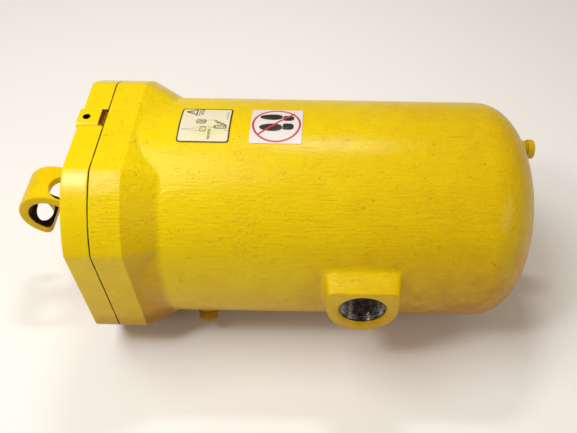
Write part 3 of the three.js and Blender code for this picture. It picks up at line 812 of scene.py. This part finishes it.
# %% Node helper
def graph(name):
    material = bpy.data.materials.new(name)
    material.use_nodes = True
    material.node_tree.nodes.clear()
    return material, material.node_tree


def node(tree, kind, links=None, **values):
    """Adds a node. Plain attributes are set by name; inputs in links are set or joined by socket name."""
    made = tree.nodes.new(kind)
    for key, value in values.items():
        setattr(made, key, value)
    for key, value in (links or {}).items():
        if isinstance(value, bpy.types.NodeSocket):
            tree.links.new(value, made.inputs[key])
        else:
            made.inputs[key].default_value = value
    return made


def position(tree, scale=(1, 1, 1)):
    coordinates = node(tree, "ShaderNodeTexCoord")
    links = {"Vector": coordinates.outputs["Object"], "Scale": scale}
    return node(tree, "ShaderNodeMapping", links).outputs["Vector"]


def noise(tree, scale, detail=2.0, rough=0.5, at=None):
    where = at if at is not None else position(tree)
    links = {"Vector": where, "Scale": scale, "Detail": detail, "Roughness": rough}
    return node(tree, "ShaderNodeTexNoise", links).outputs["Fac"]


def ranged(tree, value, low, high, to_low=0.0, to_high=1.0):
    links = {"Value": value, "From Min": low, "From Max": high, "To Min": to_low, "To Max": to_high}
    return node(tree, "ShaderNodeMapRange", links).outputs["Result"]


def mixed(tree, factor, one, two):
    made = node(tree, "ShaderNodeMix", data_type="RGBA")
    for socket, value in ((made.inputs[0], factor), (made.inputs[6], one), (made.inputs[7], two)):
        if isinstance(value, bpy.types.NodeSocket):
            tree.links.new(value, socket)
        else:
            socket.default_value = value
    return made.outputs[2]


def sums(tree, kind, one, two):
    made = node(tree, "ShaderNodeMath", operation=kind)
    for socket, value in zip(made.inputs, (one, two)):
        if isinstance(value, bpy.types.NodeSocket):
            tree.links.new(value, socket)
        else:
            socket.default_value = value
    return made.outputs[0]


def surface(tree, colour, roughness, height=None, distance=0.0003, **fixed):
    """The shader: colour, roughness and relief from the graph, constant values on its own sockets."""
    links = {"Base Color": colour, "Roughness": roughness}
    if height is not None:
        for socket, share in (("Normal", 1.0), ("Coat Normal", 0.24)):
            relief = {"Height": height, "Distance": distance * share, "Strength": 1.0}
            links[socket] = node(tree, "ShaderNodeBump", relief).outputs["Normal"]
    shader = node(tree, "ShaderNodeBsdfPrincipled", links)
    for key, value in fixed.items():
        shader.inputs[key.replace("_", " ")].default_value = value
    node(tree, "ShaderNodeOutputMaterial", {"Surface": shader.outputs["BSDF"]})
    return shader


# %% [markdown]
# The enamel is thick and brushed over a rough casting. Its relief has three sizes: the sandy grain
# of the casting, drawn-out brush marks along the barrel, and a fine orange peel. Its clear top
# layer is smoother than the paint below it. Dark pinholes, chips and fine scratches show the
# primer. The colour drifts a little. Painted shade makes it darker and more orange towards the
# domed end, low down and on the corner ramps, and a deeper painted shadow darkens the underside.
# One patch on the barrel is scuffed, and the joint between cover and tank is a dark line. The
# cover's slot is rusty, and its vent hole and the eye's inside are black, so the cover and the eye
# have their own versions.

# %% Yellow enamel
def enamel(name, lumps, coat, satin=0.10, rust=None, dark_bore=None, rub=None):
    """Yellow paint with painted shade. lumps: the casting skin's height; rust, rub and a bore mark places on
    the part.
    """
    material, tree = graph(name)
    multiply = lambda a, b: sums(tree, "MULTIPLY", a, b)
    drift = noise(tree, 7.0, 3.0, 0.55)
    mottle = noise(tree, 60.0, 5.0, 0.65)
    brush = noise(tree, 1.0, 4.0, 0.65, at=position(tree, (44, 430, 430)))
    scratch = noise(tree, 1.0, 2.0, 0.5, at=position(tree, (38, 1500, 1500)))
    grain = noise(tree, 640.0, 3.0, 0.6)
    peel = noise(tree, 260.0, 3.0, 0.55)
    fleck = noise(tree, 620.0, 3.0, 0.65)
    where = node(tree, "ShaderNodeSeparateXYZ", {"Vector": position(tree)})
    chips = multiply(ranged(tree, fleck, 0.640, 0.665), ranged(tree, noise(tree, 85.0, 3.0, 0.6), 0.52, 0.60))
    patches = ranged(tree, noise(tree, 24.0, 3.0, 0.6), 0.46, 0.58)
    lines = multiply(ranged(tree, scratch, 0.640, 0.680), patches)
    base = mixed(tree, ranged(tree, drift, 0.35, 0.68), (0.84, 0.615, 0.0012, 1), (0.91, 0.700, 0.0016, 1))
    base = mixed(tree, ranged(tree, mottle, 0.42, 0.72, 0.0, 0.35), base, (0.80, 0.520, 0.0010, 1))
    base = mixed(tree, ranged(tree, brush, 0.55, 0.78, 0.0, 0.30), base, (0.76, 0.480, 0.0010, 1))
    base = mixed(tree, multiply(lines, 0.42), base, (0.42, 0.24, 0.004, 1))
    # Painted shade: darker and more orange towards +X, away from the lamp, and low down.
    right = ranged(tree, where.outputs["X"], -0.02, 0.26)
    low = ranged(tree, where.outputs["Z"], 0.185, 0.065)
    painted_shade = sums(tree, "ADD", multiply(right, 0.36), multiply(low, 0.42))
    painted_shade = sums(tree, "ADD", painted_shade, multiply(multiply(right, low), 0.62))
    painted_shade = multiply(painted_shade, ranged(tree, mottle, 0.25, 0.60, 0.75, 1.1))
    # Painted shade on the underside.
    painted_shade = sums(tree, "ADD", painted_shade, ranged(tree, where.outputs["Z"], 0.078, 0.036, 0.0, 0.42))
    # Painted shade on the corner ramps, which face away from the lamp, most on their lower parts.
    past_flange = ranged(tree, where.outputs["X"], S0 + 0.0285, S0 + 0.0295)
    slope = multiply(past_flange, ranged(tree, where.outputs["X"], S0 + 0.062, S0 + 0.054))
    lower = ranged(tree, where.outputs["Z"], 0.235, 0.150)
    painted_shade = sums(tree, "ADD", painted_shade, multiply(multiply(slope, lower), 0.46))
    base = mixed(tree, painted_shade, base, (0.475, 0.212, 0.0010, 1))
    # Deeper painted shadow at the low ends of the ramps and under the barrel.
    ramp_shadow = multiply(slope, ranged(tree, where.outputs["Z"], 0.085, 0.062))
    underside_shade = ranged(tree, where.outputs["Z"], 0.076, 0.034, 0.0, 0.50)
    painted_shadow = sums(tree, "MAXIMUM", multiply(ramp_shadow, 0.62), underside_shade)
    base = mixed(tree, painted_shadow, base, (0.20, 0.085, 0.0008, 1))
    if rub:
        parts = []
        for axis, middle, half in zip("XYZ", rub[0], rub[1]):
            parts.append(multiply(sums(tree, "SUBTRACT", where.outputs[axis], middle), 1 / half))
        span = sums(tree, "ADD", multiply(parts[0], parts[0]), multiply(parts[1], parts[1]))
        span = sums(tree, "ADD", span, multiply(parts[2], parts[2]))
        worn_streak = noise(tree, 1.0, 4.0, 0.7, at=position(tree, (420, 300, 300)))
        smear = multiply(ranged(tree, span, 1.0, 0.25), ranged(tree, worn_streak, 0.52, 0.62))
        base = mixed(tree, multiply(smear, 0.36), base, (0.36, 0.23, 0.02, 1))
    base = mixed(tree, multiply(chips, 0.88), base, (0.17, 0.075, 0.004, 1))
    rough = ranged(tree, mottle, 0.3, 0.75, 0.26, 0.44)
    height = sums(tree, "ADD", multiply(grain, 0.50), multiply(brush, 1.05))
    height = sums(tree, "ADD", height, multiply(peel, 1.0))
    height = sums(tree, "SUBTRACT", height, multiply(chips, 0.5))
    if rust:
        inside = None
        for axis, (low, high) in zip("XYZ", rust):
            half = sums(tree, "ABSOLUTE", sums(tree, "SUBTRACT", where.outputs[axis], (low + high) / 2), 0.0)
            part = ranged(tree, half, (high - low) / 2, (high - low) / 2 - 0.0008)
            inside = part if inside is None else multiply(inside, part)
        scab = noise(tree, 380.0, 4.0, 0.7)
        worn = multiply(inside, ranged(tree, scab, 0.26, 0.36))
        brown = mixed(tree, ranged(tree, scab, 0.38, 0.66), (0.14, 0.045, 0.006, 1), (0.42, 0.17, 0.012, 1))
        base = mixed(tree, worn, base, brown)
        rough = sums(tree, "MAXIMUM", rough, multiply(worn, 0.8))
    # The inside of a round bore is made black.
    if dark_bore:
        one, two, radius = dark_bore
        apart = [sums(tree, "SUBTRACT", where.outputs[axis], centre) for axis, centre in (one, two)]
        squares = sums(tree, "ADD", multiply(apart[0], apart[0]), multiply(apart[1], apart[1]))
        away = sums(tree, "SQRT", squares, 0.0)
        bore_noise = noise(tree, 300.0, 4.0, 0.7)
        edge = sums(tree, "ADD", away, multiply(bore_noise, 0.0008))
        darkened = ranged(tree, edge, radius + 0.0010, radius + 0.0006)
        scaled = ranged(tree, bore_noise, 0.45, 0.70)
        black = mixed(tree, scaled, (0.010, 0.006, 0.004, 1), (0.050, 0.022, 0.010, 1))
        base = mixed(tree, darkened, base, black)
        rough = sums(tree, "MAXIMUM", rough, multiply(darkened, 0.6))
    from_joint = sums(tree, "ABSOLUTE", sums(tree, "SUBTRACT", where.outputs["X"], S0 - 0.00015), 0.0)
    seam = multiply(ranged(tree, from_joint, 0.00080, 0.00040), ranged(tree, mottle, 0.30, 0.50, 0.45, 1.0))
    base = mixed(tree, seam, base, (0.030, 0.014, 0.004, 1))
    surface(tree, base, rough, height, distance=lumps, Coat_Weight=coat, Coat_Roughness=satin, Coat_IOR=1.5,
            IOR=1.45, Specular_IOR_Level=0.07)
    return material


rubbed = ((S0 + 0.140, AXIS_Y - 0.093, AXIS_Z + 0.068), (0.019, 0.030, 0.040))
yellow = enamel("yellow_enamel", 0.00084, 0.28, satin=0.12, rub=rubbed)
slot_box = (
    (S0 - 0.0056, S0 + 0.0008), (AXIS_Y - 0.0035, AXIS_Y + 0.0195), (AXIS_Z + 0.1140, AXIS_Z + 0.1215),
)
vent_wall = (("X", S0 + VENT_S), ("Y", AXIS_Y + VENT_Y), 0.0034)
eye_inside = (("X", S0 + EYE_S), ("Z", AXIS_Z + EYE_Z), EYE_IN)
yellow_cover = enamel("yellow_enamel_cover", 0.00014, 0.42, satin=0.20, rust=slot_box, dark_bore=vent_wall)
yellow_eye = enamel("yellow_enamel_eye", 0.00018, 0.10, dark_bore=eye_inside)

# %% Metals, rubber, film
def metal(name, dark, light, rough, scale, depth):
    """Bare metal whose tone and gloss drift, with fine tool marks."""
    material, tree = graph(name)
    drift = noise(tree, scale, 4.0, 0.6)
    marks = noise(tree, 900.0, 3.0, 0.6)
    colour = mixed(tree, ranged(tree, drift, 0.32, 0.70), dark, light)
    gloss = ranged(tree, drift, 0.3, 0.7, rough[0], rough[1])
    surface(tree, colour, gloss, marks, distance=depth, Metallic=1.0)
    return material


bright = metal("plated_steel", (0.42, 0.43, 0.45, 1), (0.62, 0.63, 0.65, 1), (0.22, 0.38), 90.0, 0.00006)
dark = metal("blackened_steel", (0.035, 0.034, 0.036, 1), (0.10, 0.10, 0.105, 1), (0.28, 0.5), 140.0, 0.00008)
oily = metal("oily_thread", (0.012, 0.010, 0.009, 1), (0.42, 0.39, 0.36, 1), (0.10, 0.26), 210.0, 0.00010)
cloth = metal("brass_cloth", (0.36, 0.28, 0.12, 1), (0.66, 0.54, 0.27, 1), (0.3, 0.5), 700.0, 0.00020)


def rubber(name):
    material, tree = graph(name)
    dust = noise(tree, 240.0, 4.0, 0.6)
    dusty = ranged(tree, dust, 0.4, 0.75)
    black = mixed(tree, dusty, (0.012, 0.012, 0.013, 1), (0.05, 0.048, 0.045, 1))
    surface(tree, black, ranged(tree, dust, 0.3, 0.7, 0.55, 0.8), dust, distance=0.00008)
    return material


def film(name):
    """Printed film: its own ink, slightly dusty and scuffed, under a soft gloss."""
    material, tree = graph(name)
    ink_colour = node(tree, "ShaderNodeAttribute", attribute_name="ink").outputs["Color"]
    dust = noise(tree, 90.0, 4.0, 0.6)
    scuff = noise(tree, 1.0, 3.0, 0.6, at=position(tree, (60, 900, 900)))
    colour = mixed(tree, ranged(tree, dust, 0.48, 0.85, 0.0, 0.14), ink_colour, (0.62, 0.52, 0.26, 1))
    colour = mixed(tree, ranged(tree, scuff, 0.64, 0.82, 0.0, 0.22), colour, (0.85, 0.80, 0.66, 1))
    surface(tree, colour, ranged(tree, dust, 0.3, 0.7, 0.32, 0.5), scuff, distance=0.00004)
    return material


black_rubber, printed = rubber("seal_rubber"), film("printed_film")


def paint_with(material, *objects):
    for item in objects:
        item.data.materials.clear()
        item.data.materials.append(material)


def pieces_named(*names):
    return [bpy.data.objects[name] for name in names]


paint_with(yellow, tank, port_boss, level_boss, drain_boss)
paint_with(yellow, *pieces_named("drain_cap", "drain_ring", "level_cap", "level_ring"))
paint_with(yellow_eye, *pieces_named("eye_casting"))
paint_with(yellow_cover, *pieces_named("cover_plate", "cover_register"))
paint_with(oily, port_thread)
paint_with(dark, bypass_coil, *pieces_named("vent_grub", *[f"cap_screw_{i}" for i in range(1, 5)]))
paint_with(printed, caution, no_step)


def finish_node(name, material):
    """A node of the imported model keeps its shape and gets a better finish."""
    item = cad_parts[name]
    for slot in item.material_slots:
        slot.material = material
    if not item.material_slots:
        item.data.materials.append(material)


for name in ("strainer_nipple", "strainer_base_cap", "strainer_core", "strainer_end_block", "bypass_poppet"):
    finish_node(name, bright)
finish_node("bypass_retainer", dark)
finish_node("strainer_screen", cloth)
finish_node("cover_seal", black_rubber)
print("materials:", len(bpy.data.materials))

# %% [markdown]
# ## Stage, light and camera
#
# The part lies on a plain pale floor. A wide soft light hangs over it, to the cover's side. A small
# strip leaves a streak of gloss along the barrel, and a small window shines on the cover's corner.
# A weak warm light fills the domed end from the right, and a warm pale sky lifts the shadows.

# %% Floor and lights
floor_mesh = bpy.data.meshes.new("floor")
FLOOR_HALF, FLOOR_Z = 6, -0.0002
floor_corners = [(x * FLOOR_HALF, y * FLOOR_HALF, FLOOR_Z) for x, y in ((-1, -1), (1, -1), (1, 1), (-1, 1))]
floor_mesh.from_pydata(floor_corners, [], [(0, 1, 2, 3)])
floor = bpy.data.objects.new("floor", floor_mesh)
bpy.context.scene.collection.objects.link(floor)
floor_material, floor_tree = graph("pale_floor")
tone = noise(floor_tree, 3.0, 2.0)
floor_colour = mixed(floor_tree, tone, (0.95, 0.95, 0.95, 1), (0.97, 0.97, 0.975, 1))
surface(floor_tree, floor_colour, ranged(floor_tree, tone, 0, 1, 0.75, 0.85))
floor_mesh.materials.append(floor_material)


def soft_light(name, power, size, where, towards, colour=(1, 1, 1)):
    lamp = bpy.data.lights.new(name, "AREA")
    lamp.shape, lamp.size, lamp.size_y, lamp.energy, lamp.color = "RECTANGLE", size[0], size[1], power, colour
    item = bpy.data.objects.new(name, lamp)
    item.location = where
    item.rotation_euler = (Vector(towards) - Vector(where)).to_track_quat("-Z", "Y").to_euler()
    bpy.context.scene.collection.objects.link(item)
    return item


soft_light("overhead", 14.4, (1.0, 0.8), (-0.64, -0.06, 1.65), (0, 0, 0.1), (1.0, 0.985, 0.96))
soft_light("top_strip", 3.2, (0.24, 0.07), (0.03, 0.52, 1.30), (0, 0, 0.1), (1.0, 0.985, 0.96))
soft_light("window", 3.0, (0.20, 0.20), (-0.535, -0.400, 1.110), (-0.178, -0.062, 0.229), (1.0, 0.98, 0.95))
soft_light("right_fill", 3.5, (0.7, 0.5), (1.25, -0.70, 0.75), (0.2, 0, 0.12), (1.0, 0.93, 0.82))
world = bpy.data.worlds.new("pale_sky")
world.use_nodes = True
world.node_tree.nodes["Background"].inputs["Color"].default_value = (1.0, 0.84, 0.66, 1)
world.node_tree.nodes["Background"].inputs["Strength"].default_value = 0.26
bpy.context.scene.world = world
bpy.context.scene.view_settings.view_transform = "Standard"

# %% [markdown]
# The camera looks down at 50 degrees, square on to the tank's axis and 0.738 m from it, and is
# rolled by about a degree. A small shift slides the frame, as cropping would, so that the part
# sits in the middle while the view stays square.

# %% Camera
LENS = 41.86
DISTANCE = 0.738
foot = np.array([S0 + 0.2167, AXIS_Y, AXIS_Z])
down = math.radians(50)
back = np.array([0, -math.cos(down), math.sin(down)])
roll = math.radians(0.97)
flat_right, flat_up = np.array([1.0, 0, 0]), np.array([0, math.sin(down), math.cos(down)])
side = flat_right * math.cos(roll) + flat_up * math.sin(roll)
over = flat_up * math.cos(roll) - flat_right * math.sin(roll)
eye_point = foot + back * DISTANCE
lens = bpy.data.cameras.new("camera")
lens.lens, lens.sensor_width, lens.clip_start = LENS, 36, 0.01
lens.shift_x, lens.shift_y = -0.0667, -0.0182
camera = bpy.data.objects.new("camera", lens)
camera.matrix_world = Matrix((
    (side[0], over[0], back[0], eye_point[0]), (side[1], over[1], back[1], eye_point[1]),
    (side[2], over[2], back[2], eye_point[2]), (0, 0, 0, 1)))
bpy.context.scene.collection.objects.link(camera)
bpy.context.scene.camera = camera
